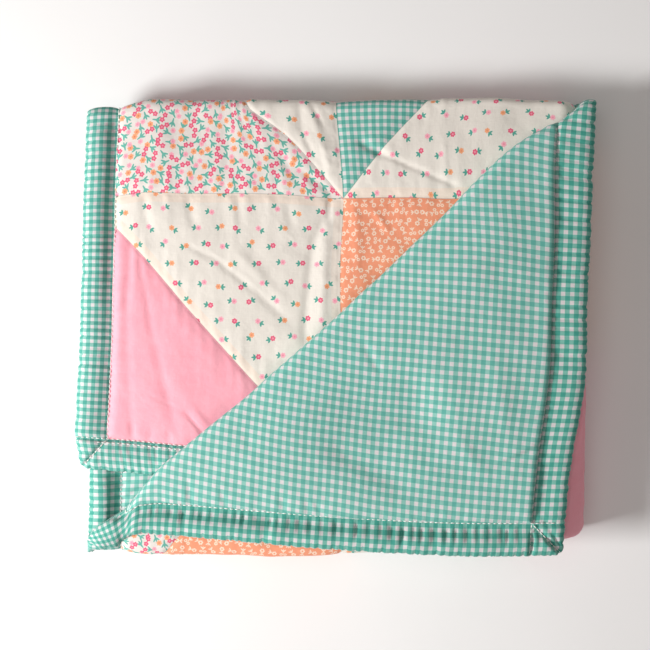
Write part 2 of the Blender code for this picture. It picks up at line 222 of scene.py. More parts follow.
# How far from the rim the gathers start, as a share of the width.
GATHER_STARTS = ((0, 0.05), (0.86, 0.05), (0.88, 0.4), (1.02, 0.36), (1.1, 0.22), (1.3, 0.22))
WIDE_GATHERS = (0.0600, 0.0045)  # spacing and half width of the wider folds
FOLD_DEPTH = 0.0022  # how deep the small folds and the wide ones are
WIDE_DEPTH = 0.0016
RIM_WAVES = (0.0016, 0.0012, -0.0007)  # how far each draws the rim in, and how far it stands out
STRIP_LUMPS = (0.0006, 0.017)  # height and size of their unevenness
HOLLOW_DEPTH = 0.8  # share of the thickness that a full hollow takes away
PINCH = 0.0018  # how far to each side a row of stitches presses them in
NOTHING = ((0, 0),)
PLAIN_FACE = {
    "pleats": (0.0086, 0.0014),  # spacing and half width of the gathers' small folds
    "puff": NOTHING,  # extra half thickness where nothing lies on the face
    "hollow": NOTHING,  # how far it falls away between its padding and its seam
    "falls": (NOTHING, ((0, 1),)),  # between which shares of the width it falls
    "rise": 0.55,  # share of the width over which it rises from its seam
    "rounding": 0.42,  # and over which it rounds off to its rim
    "full": HALF + 0.0004,  # half thickness of its padding
    "crossed": 1.0,  # whether stitches cross its ends
}
FACES = {
    ("v", 0, 1): {
        "pleats": (0.0068, 0.0011),
        "puff": ((0, 0.002), (0.15, 0.0026), (0.2, 0.0044), (0.32, 0.0046), (0.35, 0)),
        "hollow": ((0, 0), (0.11, 0.1), (0.17, 0.5), (0.21, 0.9), (0.335, 0.9), (0.35, 0)),
        "falls": (((0, 0.66),), ((0, 0.96),)),
    },
    ("v", 0, -1): {
        "pleats": (0.0100, 0.0023),
        "puff": (
            (0.7, 0), (0.76, 0.006), (0.806, 0.0056), (0.822, 0), (0.87, 0), (0.89, 0.0034), (1, 0.005),
            (1.3, 0.0054),
        ),
        "hollow": ((0.735, 0), (0.75, 0.3), (0.8, 0.3), (0.815, 0), (0.89, 0.6), (0.92, 0.9), (1.27, 0.9)),
        "falls": (((0.8, 0.36), (0.9, 0.4)), ((0.8, 0.94), (0.9, 0.98))),
    },
    ("u", 0, 1): {"puff": ((0, 0.0022), (0.12, 0.0022), (0.16, 0)), "crossed": 0.0},
    ("u", 1, -1): {
        "puff": ((0, 0.0024), (0.43, 0.0026), (0.46, 0)), "hollow": ((0, 0.4),),
        "falls": (((0, 0.28),), ((0, 0.9),)), "rise": 0.10, "rounding": 0.26, "full": 0.0031,
    },
}

# The faces' unevenness: height, size, seed.
FRONT_LUMPS = ((0.0011, 0.036, 1), (0.0004, 0.015, 2))
BACK_LUMPS = ((0.0014, 0.055, 11), (0.0006, 0.024, 12))
# And how the backing's weave wanders, across and along.
WEAVE_STRAY = ((0.0013, 0.055, 41), (0.0011, 0.055, 42))
# Depth and half width of the two hollows that a seam between patches makes, one in the other.
SEAM_HOLLOWS = ((0.0009, 0.0016), (0.0007, 0.0080))
# Small folds that run in from a seam: spacing, half width, reach.  Then their heights.
PATCH_FOLDS = (0.0160, 0.0042, 0.016)
BORDER_FOLDS = (0.0105, 0.0024, 0.009)
FRONT_FOLD_HEIGHT = 0.0013
BACK_FOLD_HEIGHT = 0.0015
FOLDS_MEAN = 0.35  # what is taken off the small folds, so that they neither lift nor sink the cloth
SEAM_RISE = 0.006  # how far from a border seam the panel is up to its padding
FLAP_PUFF = 0.0026  # how much the hem layer puffs up beside the turned corner
CORNER_PUFF = 0.0050  # and the backing on the corner
CORNER_PUFF_FULL = 0.060  # how far past its bend
END_RIDGE = 0.0034  # and more along its lower seam

# Where the hem layer's cloth is pulled along its own plane: u, v, reach, shift in u, shift in v.
PULLS = (
    (0.36, 0.264, 0.07, 0, -0.011), (0.2475, 0.35, 0.04, -0.0045, 0), (0.2475, 0.264, 0.04, 0.0015, 0),
    (0.172, 0.348, 0.027, -0.015, 0),
)
# The patchwork: seams between blocks, and what is on each side of a block's diagonal.
COLUMN_SEAMS = (0.0040, 0.2475, 0.4985, 0.7495, 0.9960)
ROW_SEAMS = (0.000, 0.264, 0.522, 0.760, 1.034, 1.300)
BLOCK_ROWS = (
    # for each block of a row: diagonal from the hem end, left of it, right of it
    "falls pink sprigs, rises blossom pink, falls meadow check, rises sprigs blossom",
    "falls meadow sprigs, rises check sprigs, falls pink blossom, rises meadow pink",
    "rises sprigs pink, falls check meadow, rises blossom sprigs, falls pink check",
    "rises meadow blossom, falls sprigs pink, rises pink check, falls blossom sprigs",
    "falls pink check, rises sprigs blossom, falls blossom meadow, rises check pink",
)
BLOCKS = [(col, row, *block.split()) for row, blocks in enumerate(BLOCK_ROWS)
          for col, block in enumerate(blocks.split(", "))]

# How far the backing's weave has run off the quilt's sides: v, offset across.  And how much longer
# the turned corner is drawn out than it is on the flat drawing.
OFF_GRAIN = (
    (0, 0), (0.8, 0.024), (0.87, 0.02925), (1.05, 0.05355), (1.12, 0.06265), (1.18, 0.06805),
    (1.3, 0.07765),
)
CORNER_STRETCH = 0.075

# Lines of the meshes over the flat drawing, finer where the cloth shows: up to where, spacing.
TOP_ACROSS = (
    (0.036, 0.0012), (0.2475, 0.0026), (0.4985, 0.0026), (0.6, 0.003), (0.7495, 0.006), (0.97, 0.006),
)
TOP_ALONG = (
    (0.036, 0.0012), (0.264, 0.0026), (0.335, 0.0026), (0.367, 0.002), (0.522, 0.006), (0.76, 0.006),
    (0.812, 0.003), (0.858, 0.0022), (0.905, 0.003), (1.034, 0.0065), (1.27, 0.0065),
)
BACKING_ACROSS = ((0.036, 0.0012), (0.47, 0.0028), (0.6, 0.004), (0.97, 0.0075))
BACKING_ALONG = (
    (0.335, 0.0075), (0.367, 0.0025), (0.72, 0.0075), (0.812, 0.004), (0.862, 0.0025), (1.264, 0.0028),
    (1.27, 0.0012),
)
BACKING_SPLIT = 0.812  # the lines from here on are cut along the turned corner's bend
BEND_CUTS = 8
DIAGONAL_CUT = 0.0014  # lines this far beside each diagonal seam
FRONT_CHECK = 0.0070  # one check of the gingham on the front
BACK_CHECK = 0.00825  # and on the back


def along(table, values, part=1):
    """One column of a table at the given places, in straight lines between its rows."""
    return np.interp(values, [row[0] for row in table], [row[part] for row in table])


def ease(values, start, end):
    t = np.clip((values - start) / (end - start), 0.0, 1.0)
    return t * t * (3.0 - 2.0 * t)


def left_edge(u, v):
    return along(LEFT_EDGE, v) * (1.0 - ease(u, 0.0, SIDE_REACH))


def third_layer(u, q):
    lean = THIRD_LEAN * np.clip((WIDTH - u) / (0.55 * WIDTH), 0.0, 1.0)
    climb = FOOT_RISE * ease(np.minimum(u, WIDTH - u), 0.15 * WIDTH, 0.5 * WIDTH)
    return LEFT_X + u + lean * q, FOOT_Y + climb + THIRD_SHRINK * q


def fold_in_three(u, v, w):
    far, hem = FAR_Y + along(FAR_EDGE, u), HEM_Y + along(HEM_EDGE, u)
    foot = third_layer(u, 0.0)[1]
    far_angle = np.clip((v - HEM_LAYER) / TOP_TURN, 0.0, math.pi)
    foot_angle = np.clip((v - FOOT_BEND) / FOOT_TURN, 0.0, math.pi)
    layers = [v < HEM_LAYER, v < MIDDLE_START, v < FOOT_BEND, v < THIRD_START]
    third_x, third_y = third_layer(u, np.maximum(v - THIRD_START, 0.0))
    y = np.select(layers, [
        hem + (far - hem) * v / HEM_LAYER,
        far + (TOP_TURN + w) * np.sin(far_angle),
        far - (far - foot) * (v - MIDDLE_START) / MIDDLE_LAYER,
        foot - (FOOT_TURN + w) * np.sin(foot_angle),
    ], third_y)
    z = np.select(layers, [
        MIDDLE + 1.5 * PITCH + w,
        MIDDLE + PITCH + (TOP_TURN + w) * np.cos(far_angle),
        MIDDLE + PITCH / 2 - w,
        MIDDLE + 1.5 * PITCH - (FOOT_TURN + w) * np.cos(foot_angle),
    ], MIDDLE + 2.5 * PITCH + w)
    edge = left_edge(u, v) + along(RIGHT_EDGE, v) * ease(u, WIDTH - SIDE_REACH, WIDTH)
    return np.where(v < THIRD_START, LEFT_X + u, third_x) + edge, y, z


def corner_past(u, v):
    """How far a point of the flat drawing lies past the turned corner's bend."""
    return (v - THIRD_START - BEND_START.y) * BEND_RUN.x - (u - BEND_START.x) * BEND_RUN.y


def turn_corner(u, v, w, x, y, z):
    q, past = v - THIRD_START, corner_past(u, v)
    reach = (u - BEND_START.x) * BEND_RUN.x + (q - BEND_START.y) * BEND_RUN.y
    foot, head = Vector(third_layer(*BEND_START)), Vector(third_layer(*BEND_END))
    out = Vector((foot.y - head.y, head.x - foot.x)).normalized()
    corner = Vector((0.0, LENGTH - THIRD_START)) - BEND_START
    back = Vector(TIP) - Vector(third_layer(*(BEND_START + BEND_RUN * corner.dot(BEND_RUN))))
    back /= corner.y * BEND_RUN.x - corner.x * BEND_RUN.y - math.pi * CORNER_TURN
    angle = np.clip(past / CORNER_TURN, 0.0, math.pi)
    bulge = (CORNER_TURN - w) * np.sin(angle)
    flat = np.maximum(past - math.pi * CORNER_TURN, 0.0)
    moved = (q > 0.0) & (past > 0.0)
    line_x, line_y = third_layer(BEND_START.x + BEND_RUN.x * reach, BEND_START.y + BEND_RUN.y * reach)
    x = np.where(moved, line_x + out.x * bulge + back.x * flat, x)
    y = np.where(moved, line_y + out.y * bulge + back.y * flat, y)
    level = MIDDLE + 2.5 * PITCH + CORNER_TURN - (CORNER_TURN - w) * np.cos(angle)
    return x, y, np.where(moved, level, z), np.where(moved, angle / math.pi, 0.0)


def fold_under(x, y, z, turned):
    axis = SIDE_X + SIDE_LEAN * (y - FOOT_Y)
    angle = np.clip((x - axis) / SIDE_TURN, 0.0, math.pi)
    height = z - MIDDLE
    beyond = np.maximum(x - axis - math.pi * SIDE_TURN, 0.0)
    side_x = np.where(x > axis, axis + height * np.sin(angle) - UNDER_GATHER * beyond, x)
    side_z = MIDDLE + height * np.cos(angle)
    droop = DROOP * np.maximum(x - axis + OVERHANG, 0.0) ** 2
    loose = ease(turned, 0.0, 1.0)
    return side_x + (x - side_x) * loose, y, side_z + (z - droop - side_z) * loose


def turned_over(u, v, w):
    """0 on the third layer and 1 on the turned corner; inside the bend it rises first."""
    u, v = rounded(u, v)
    share = corner_past(u, v) / (math.pi * CORNER_TURN)
    lead = np.where(w > 0, 0.2, 0.0)
    return ease(share, 0.1 - lead, 0.5 - lead) * (v > THIRD_START)


def outline(table, x, part):
    """A column of one of the roll's outlines at x, its kinks softened."""
    return sum(along(table, x + step, part) for step in OUTLINE_SOFTENING) / len(OUTLINE_SOFTENING)


def roll_print(x, y, join_v):
    """Weave coordinates of the border where it narrows into the roll, from places in plan."""
    top, rim = np.minimum(outline(ROLL_TO, x, 1), CURL_SEAM_Y), outline(ROLL_TO, x, 2)
    gone = CURL_START - x
    turn = np.clip(gone / CURL_FULL, 0.0, 1.0)
    share = np.clip((y - rim) / (top - rim), -0.2, 1.2)
    return BORDER * share, join_v - gone * (1.0 + 0.4 * turn) - turn * (top - y)


def roll_over(x, y, z, over):
    """Roll the turned corner's sharp end over the near fold."""
    edge, rim = outline(ROLL_FROM, x, 1), outline(ROLL_FROM, x, 2)
    share = (y - rim) / (edge - rim)
    to_x = x - ROLL_REACH * (1.0 - ease(x, *ROLL_REACH_ENDS))
    edge, rim = outline(ROLL_TO, to_x, 1), outline(ROLL_TO, to_x, 2)
    to_y = rim + share * (edge - rim)
    drop = ROLL_DROP * (1.0 - ease(x, *ROLL_DROP_ENDS)) * np.clip(1.0 - share, 0.0, 1.1) ** 2
    return x + (to_x - x) * over, y + (to_y - y) * over, z - drop * over


def settle(x, y, z, over):
    for near_x, near_y, reach, shift_x, shift_y, lowest in SHIFTS:
        pull = np.exp(-((x - near_x) ** 2 + (y - near_y) ** 2) / reach ** 2)
        pull = pull * ease(z, lowest - 0.6 * PITCH, lowest + 0.6 * PITCH)
        x, y = x + shift_x * pull, y + shift_y * pull
    x, y, z = roll_over(x, y, z, over)
    level = np.clip((z - PITCH) / (6 * PITCH), 0.0, 1.0) ** 1.5
    for near_x, near_y, reach_x, reach_y, height in SWELLS:
        z = z + height * level * np.exp(-((x - near_x) / reach_x) ** 2 - ((y - near_y) / reach_y) ** 2)
    return x, y, z


def press(x, y, z):
    """Press the creases into the surfaces that face up at each crease's level."""
    lift = np.zeros_like(z)
    for level, rows in CREASES.items():
        faces = ease(z, level - 0.001, level + 0.003) * (1.0 - ease(z, level + 0.009, level + 0.012))
        for row in rows:
            x0, y0, x1, y1, width, height = (size / 1000 for size in row[:6])
            run_x, run_y = x1 - x0, y1 - y0
            size = math.hypot(run_x, run_y)
            at = ((x - x0) * run_x + (y - y0) * run_y) / size ** 2
            off = ((y - y0) * run_x - (x - x0) * run_y) / size / width
            near = np.exp(-off ** 2)
            if len(row) > 6:
                near = near * off * row[6]
            ends = ease(at, -0.25, 0.25) * (1.0 - ease(at, 0.75, 1.25))
            lift += height * near * ends * faces
    return z + lift


def rounded(u, v):
    """Draw the quilt's four corners in to quarter circles."""
    off_u, off_v = (np.maximum(CORNER_RADIUS - off, 0.0) for off in from_sides(u, v))
    both = (off_u > 0.0) & (off_v > 0.0)
    span = np.where(both, np.hypot(off_u, off_v), 1.0)
    drawn = np.where(both, 1.0 - np.maximum(off_u, off_v) / span, 0.0)
    return u + drawn * off_u * np.sign(WIDTH / 2 - u), v + drawn * off_v * np.sign(LENGTH / 2 - v)


def settled(u, v, w):
    """Where a point of the flat drawing lies once folded and settled, and how far it is turned over."""
    over = turned_over(u, v, w)
    u, v = rounded(u, v)
    free = ease(edge_distance(u, v), BORDER, 2 * BORDER)
    for at_u, at_v, reach, shift_u, shift_v in PULLS:
        pull = free * np.exp(-((u - at_u) ** 2 + (v - at_v) ** 2) / reach ** 2)
        u, v = u + shift_u * pull, v + shift_v * pull
    x, y, z, turned = turn_corner(u, v, w, *fold_in_three(u, v, w))
    return (*settle(*fold_under(x, y, z, turned), over), over)


def lay(u, v, w):
    """Where a point of the flat drawing lies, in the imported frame."""
    x, y, z, _ = settled(u, v, w)
    z = np.maximum(press(x, y, z), STACK_MIDDLE[2] - 0.0002)
    return np.stack([x, y, z], axis=1) - np.array(STACK_MIDDLE)


def print_place(u, v, w):
    """Where a point lies on the cloth itself: the outside of a fold takes more cloth, unstretched."""
    past = np.clip(corner_past(u, v), 0.0, math.pi * CORNER_TURN)
    shift = np.where(v > THIRD_START, -w / CORNER_TURN * past, 0.0)
    far = w / TOP_TURN * np.clip(v - HEM_LAYER, 0.0, math.pi * TOP_TURN)
    foot = w / FOOT_TURN * np.clip(v - FOOT_BEND, 0.0, math.pi * FOOT_TURN)
    if w < 0:
        v = v + CORNER_STRETCH * np.maximum(v - THIRD_START, 0.0)
    return u - BEND_RUN.y * shift, v + BEND_RUN.x * shift + far + foot


def backing_print(u, v):
    """Where the gingham backing lies on its own weave: cut a little off the grain, and eased."""
    place_u, place_v = print_place(u, v, -HALF)
    stray_u, stray_v = (lumps(u, v, [row]) for row in WEAVE_STRAY)
    return place_u + along(OFF_GRAIN, v) + stray_u, place_v + stray_v


def noise(x, y, size, seed):
    """Smooth noise from -1 to 1 over the plane."""
    cells = 256
    values = np.random.RandomState(seed).uniform(-1.0, 1.0, (cells, cells))
    x, y = np.asarray(x) / size, np.asarray(y) / size
    column_at, row_at = np.floor(x).astype(int), np.floor(y).astype(int)
    a, b = x - column_at, y - row_at
    a, b = a * a * (3 - 2 * a), b * b * (3 - 2 * b)

    def corner(i, j):
        return values[(column_at + i) % cells, (row_at + j) % cells]

    low = corner(0, 0) * (1 - a) + corner(1, 0) * a
    high = corner(0, 1) * (1 - a) + corner(1, 1) * a
    return low * (1 - b) + high * b


def lumps(u, v, table):
    return sum(height * noise(u, v, size, seed) for height, size, seed in table)


def from_sides(u, v):
    """How far a point lies from the nearer of the sides along the length, and of the two ends."""
    return np.minimum(u, WIDTH - u), np.minimum(v, LENGTH - v)


def edge_distance(u, v):
    """How far a point lies from the quilt's nearest side."""
    return np.minimum(*from_sides(u, v))


def gathers(s, spacing, width, seed):
    """A row of irregular small folds along a seam, from 0 to 1."""
    longest, step = 3.4, 0.0004
    chance = np.random.RandomState(seed)
    count = int(longest / spacing)
    centres = (np.arange(count) + chance.uniform(-0.32, 0.32, count)) * spacing
    heights = chance.uniform(0.25, 1.0, count)
    widths = width * chance.uniform(0.7, 1.3, count)
    places = np.arange(0.0, longest, step)
    folds = np.zeros_like(places)
    for centre, height, reach in zip(centres, heights, widths):
        near = slice(max(int((centre - 5 * reach) / step), 0), int((centre + 5 * reach) / step) + 1)
        off = (places[near] - centre) / reach
        off = off * np.where(off < 0, 1.3, 0.75)
        folds[near] = np.maximum(folds[near], height * np.exp(-off ** 2))
    return np.interp(s, places, folds)


def panel_half(u, v):
    inside = edge_distance(u, v) - BORDER
    t = np.clip(inside / CROWN, 0.0, 1.0)
    padding = SEAM_HALF + (HALF - SEAM_HALF) * np.sqrt(t * (2.0 - t))
    return STITCHED_HALF + (padding - STITCHED_HALF) * np.sqrt(np.clip(inside / SEAM_RISE, 0.0, 1.0))


def edge_puckers(u, v, seed):
    """Small folds that run in from the border seam and die out in the padding."""
    inside = edge_distance(u, v) - BORDER
    spacing, width, reach = BORDER_FOLDS
    beside = np.where(np.less(*from_sides(u, v)), v, u + 2.0)
    folds = gathers(beside, spacing, width, seed) - FOLDS_MEAN
    return folds * np.exp(-np.maximum(inside, 0.0) / reach) * ease(inside, 0.0, 0.004)


def block_box(block):
    col, row = block[:2]
    return COLUMN_SEAMS[col], COLUMN_SEAMS[col + 1], ROW_SEAMS[row], ROW_SEAMS[row + 1]


def seam_gaps(u, v, block):
    """Distances from a block's diagonal and from its straight seams."""
    left, right, near, far = block_box(block)
    slope = (far - near) / (right - left)
    off = (v - far if block[2] == "falls" else near - v) + slope * (u - left)
    return off / math.hypot(slope, 1.0), np.minimum(u - left, right - u), np.minimum(v - near, far - v)


def beside_flap(u, v):
    """1 on the hem layer where it shows beside the turned corner, and 0 under it and elsewhere."""
    x, y, _ = fold_in_three(u, v, HALF)
    off = (y - FLAP_EDGE[1] - (x - FLAP_EDGE[0]) * FLAP_SLOPE) / math.hypot(1.0, FLAP_SLOPE)
    return ease(off, -0.004, 0.014) * (1.0 - ease(v, HEM_LAYER - 0.040, HEM_LAYER + 0.010))


def front_surface(u, v):
    """Height of the patchwork over the middle of the padding."""
    gap, along_seam = np.full_like(u, 1.0), np.zeros_like(u)
    for block in BLOCKS:
        left, right, near, far = block_box(block)
        here = (u >= left) & (u <= right) & (v >= near) & (v <= far)
        diagonal, across, down = np.abs(seam_gaps(u, v, block))
        nearest = np.minimum(np.minimum(diagonal, across), down)
        gap = np.where(here, nearest, gap)
        place = np.where(nearest == down, u, np.where(nearest == across, v + 1.5, u * 1.4 + 0.7))
        along_seam = np.where(here, place, along_seam)
    height = panel_half(u, v) + lumps(u, v, FRONT_LUMPS)
    for depth, half_width in SEAM_HOLLOWS:
        height -= depth * np.exp(-(gap / half_width) ** 2)
    spacing, width, reach = PATCH_FOLDS
    folds = gathers(along_seam, spacing, width, 5) - FOLDS_MEAN
    height += FRONT_FOLD_HEIGHT * folds * np.exp(-gap / reach) * ease(gap, 0.0, 0.005)
    inside = edge_distance(u, v) - BORDER
    height += FLAP_PUFF * beside_flap(u, v) * (1.0 - np.exp(-inside / 0.016))
    return height - FRONT_FOLD_HEIGHT * edge_puckers(u, v, 3)


def back_surface(u, v):
    """Depth of the backing under the middle of the padding, puffed up on the turned corner."""
    from_end, from_side = LENGTH - v - BORDER, from_sides(u, v)[0] - BORDER
    puff = ease(corner_past(u, v), 0.5 * CORNER_TURN, CORNER_PUFF_FULL)
    puff = puff * (1.0 - np.exp(-from_end / 0.0016)) * (1.0 - np.exp(-from_side / 0.0055))
    ridge = np.exp(-from_end / 0.006) * (1.0 - np.exp(-from_end / 0.0010))
    height = panel_half(u, v) + lumps(u, v, BACK_LUMPS) + CORNER_PUFF * puff + END_RIDGE * ridge
    return height - BACK_FOLD_HEIGHT * edge_puckers(u, v, 13)


# ----------------------------------------
# Meshes.
def spaced(start, table):
    lines = [start]
    for end, spacing in table:
        first = lines[-1]
        steps = max(1, round((end - first) / spacing))
        lines += [first + (end - first) * (i + 1) / steps for i in range(steps)]
    return lines


def corner_bend_cuts():
    """Lines along the turned corner's bend, each a point and a normal in the flat drawing."""
    out = Vector((-BEND_RUN.y, BEND_RUN.x))
    for step in range(BEND_CUTS + 1):
        point = BEND_START + out * (math.pi * CORNER_TURN * step / BEND_CUTS)
        yield (point.x, point.y + THIRD_START, 0.0), (out.x, out.y, 0.0)


def cut_grid(us, vs, cuts):
    """A flat grid over one rectangle, cut along straight lines; gives its points and triangles."""
    mesh = bmesh.new()
    rows = [[mesh.verts.new((u, v, 0.0)) for u in us] for v in vs]
    for low, high in zip(rows, rows[1:]):
        for i in range(len(us) - 1):
            mesh.faces.new((low[i], low[i + 1], high[i + 1], high[i]))
    for point, normal in cuts:
        parts = mesh.verts[:] + mesh.edges[:] + mesh.faces[:]
        bmesh.ops.bisect_plane(mesh, geom=parts, dist=2e-5, plane_co=point, plane_no=normal)
    bmesh.ops.triangulate(mesh, faces=mesh.faces[:])
    mesh.verts.index_update()
    places = np.array([p.co[:2] for p in mesh.verts])
    faces = np.array([[p.index for p in f.verts] for f in mesh.faces])
    mesh.free()
    return places, faces


def merged(parts):
    """Join grids that share their outer points."""
    places = np.concatenate([p for p, _ in parts])
    starts = np.cumsum([0] + [len(p) for p, _ in parts])
    faces = np.concatenate([f + start for (_, f), start in zip(parts, starts)])
    keys = np.round(places * 1e5).astype(np.int64)
    _, first, same = np.unique(keys, axis=0, return_index=True, return_inverse=True)
    faces = same.reshape(-1)[faces]
    whole = (faces != np.roll(faces, 1, axis=1)).all(axis=1)
    return places[first], faces[whole]


def cloth_mesh(name, points, faces, face_uv, materials, slots=None, seams=None, unfold=None):
    """A smooth mesh whose print coordinates are given for each face corner."""
    mesh = bpy.data.meshes.new(name)
    mesh.from_pydata(points.tolist(), [], faces.tolist())
    for title, values in (("cloth", face_uv), ("OFBake", unfold)):
        if values is not None:
            mesh.uv_layers.new(name=title).uv.foreach_set("vector", values.ravel().astype(np.float32))
    for material in materials:
        mesh.materials.append(material)
    if slots is not None:
        mesh.polygons.foreach_set("material_index", slots.astype(np.int32))
    if seams is not None:
        made = mesh.attributes.new("seams", "FLOAT_VECTOR", "CORNER")
        made.data.foreach_set("vector", seams.ravel().astype(np.float32))
    mesh.polygons.foreach_set("use_smooth", np.ones(len(mesh.polygons), bool))
    mesh.update()
    piece = bpy.data.objects.new(name, mesh)
    bpy.context.scene.collection.objects.link(piece)
    return piece


def unfolded(u, v, across, down):
    """Places on a flat map of the cloth, with more room where its mesh has finer lines."""
    lines = [np.array(spaced(BORDER, table)) for table in (across, down)]
    return np.stack([np.interp(values, at, np.linspace(0.002, 0.998, len(at)))
                     for values, at in zip((u, v), lines)], axis=2)


def patchwork_top(materials):
    us, vs = spaced(BORDER, TOP_ACROSS), spaced(BORDER, TOP_ALONG)
    parts = []
    for block in BLOCKS:
        left, right, near, far = block_box(block)
        falls = block[2] == "falls"
        normal = Vector(((far - near) / (right - left), 1.0 if falls else -1.0, 0.0)).normalized()
        start = Vector((left, far if falls else near, 0.0))
        cuts = [(start + normal * side, normal) for side in (-DIAGONAL_CUT, 0.0, DIAGONAL_CUT)]
        if far > THIRD_START:
            cuts += corner_bend_cuts()
        parts.append(cut_grid([u for u in us if left - 1e-6 <= u <= right + 1e-6],
                              [v for v in vs if near - 1e-6 <= v <= far + 1e-6], cuts))
    sizes = [len(faces) for _, faces in parts]
    places, faces = merged(parts)
    if len(faces) != sum(sizes):
        raise ValueError("merging the blocks lost faces")
    corners = places[faces]
    middles = corners.mean(axis=1)
    slots, seams = np.zeros(len(faces), int), np.zeros((len(faces), 3, 3))
    for block, size, end in zip(BLOCKS, sizes, np.cumsum(sizes)):
        span = slice(end - size, end)
        off = seam_gaps(*middles[span].T, block)[0]
        slots[span] = np.where(off < 0, FABRICS.index(block[3]), FABRICS.index(block[4]))
        seams[span] = np.stack(seam_gaps(corners[span, :, 0], corners[span, :, 1], block), axis=2)
    points = lay(*places.T, front_surface(*places.T))
    u, v = corners[:, :, 0], corners[:, :, 1]
    face_uv = np.stack(print_place(u, v, HALF), axis=2)
    unfold = unfolded(u, v, TOP_ACROSS, TOP_ALONG)
    return cloth_mesh("patchwork_top", points, faces, face_uv, materials, slots, seams, unfold)


def gingham_backing(material):
    us, vs = spaced(BORDER, BACKING_ACROSS), spaced(BORDER, BACKING_ALONG)
    places, faces = merged([
        cut_grid(us, [v for v in vs if v <= BACKING_SPLIT + 1e-4], []),
        cut_grid(us, [v for v in vs if v >= BACKING_SPLIT - 1e-4], corner_bend_cuts()),
    ])
    faces = faces[:, ::-1]
    u, v = np.moveaxis(places[faces], 2, 0)
    points = lay(*places.T, -back_surface(*places.T))
    face_uv = np.stack(backing_print(u, v), axis=2)
    unfold = unfolded(u, v, BACKING_ACROSS, BACKING_ALONG)
    return cloth_mesh("gingham_backing", points, faces, face_uv, [material], unfold=unfold)


def rim_profile(share, rounding=PLAIN_FACE["rounding"]):
    """How full a border strip is at a share of the way from its rim to its seam."""
    return np.sqrt(np.clip(1.0 - (1.0 - np.clip(share / rounding, 0.0, 1.0)) ** 2, 0.0, 1.0))


def strip_half(side, run, share, from_end, face, seed):
    """Half thickness of a strip's face at a share of the way from rim to seam, and its rim's waves."""
    shape = {**PLAIN_FACE, **FACES.get((*side, face), {})}
    folds = gathers(run, *shape["pleats"], seed)
    wide = gathers(run, *WIDE_GATHERS, seed + 3)
    outer = rim_profile(share, shape["rounding"])
    rise = np.clip((1.0 - share) / shape["rise"], 0.0, 1.0)
    inner = np.sqrt(rise * (2.0 - rise))
    half = np.minimum(shape["full"] * outer, STITCHED_HALF + (shape["full"] - STITCHED_HALF) * inner)
    half = half + along(shape["puff"], run) * outer * ease(1.0 - share, 0.0, shape["rise"])
    start, stop = (along(table, run) for table in shape["falls"])
    half = half * (1.0 - HOLLOW_DEPTH * along(shape["hollow"], run) * ease(share, start, stop))
    strength, reach = along(GATHERS[side[0]], run), along(GATHER_STARTS, run)
    before_seam = 1.0 - ease(share, 0.95, 1.0)
    drawn = FOLD_DEPTH * folds * ease(share, reach, reach + 0.5) + WIDE_DEPTH * wide * ease(share, 0.0, 0.35)
    half = half - strength * drawn * before_seam
    height, size = STRIP_LUMPS
    half = half + height * noise(run, share * 0.02 + 1.0, size, seed + 1) * np.minimum(outer, inner)
    for off, limit, part in ((np.abs(from_end - share * BORDER) * 0.7, MITRE_HALF, 1.0),
                             (np.abs(from_end - BORDER), CROSS_HALF, shape["crossed"])):
        over = np.maximum(half - limit * outer, 0.0)
        half = half - part * over * np.exp(-(off / PINCH) ** 2) * (share < 1.0)
    small, wider, mean = RIM_WAVES
    rim = (small * folds + wider * wide + mean) * (1.0 - ease(share, 0.0, 0.45))
    return np.where(share > 0, np.maximum(half, 0.0004), 0.0), rim


def strip_print(side, across, run, u, v, half):
    """Weave coordinates on the two faces of a strip, cut from ginghams of different scales."""
    flat_u, flat_v = (across, run) if side[0] == "v" else (run, across)
    front_u, front_v = print_place(flat_u, flat_v, HALF)
    back_u, back_v = print_place(flat_u, flat_v, -HALF)
    if side[0] == "u":
        front_u = front_u + left_edge(flat_u, flat_v)
    if side == ("v", 0):
        x, y, _, over = settled(u, v, -half)
        rolled = (1.0 - ease(x, CURL_START - CURL_ONSET, CURL_START)) * (over > 0.5)
        probe = np.linspace(0.85, 0.95, 101)
        joins = [np.interp(CURL_START, settled(np.full_like(probe, part * BORDER), probe, -HALF)[0],
                           print_place(0.0, probe, -HALF)[1]) for part in (0.1, 0.9)]
        low, high = CURL_RIMS
        share = np.clip((y - low) / (high - low), 0.0, 1.0)
        roll_u, roll_v = roll_print(x, y, joins[0] + (joins[1] - joins[0]) * share)
        back_u = back_u + (roll_u - back_u) * rolled
        back_v = back_v + (roll_v - back_v) * rolled
    front = np.stack([front_u, front_v], axis=2).reshape(-1, 2) / FRONT_CHECK
    back = np.stack([back_u, back_v], axis=2).reshape(-1, 2) / BACK_CHECK
    return front, back


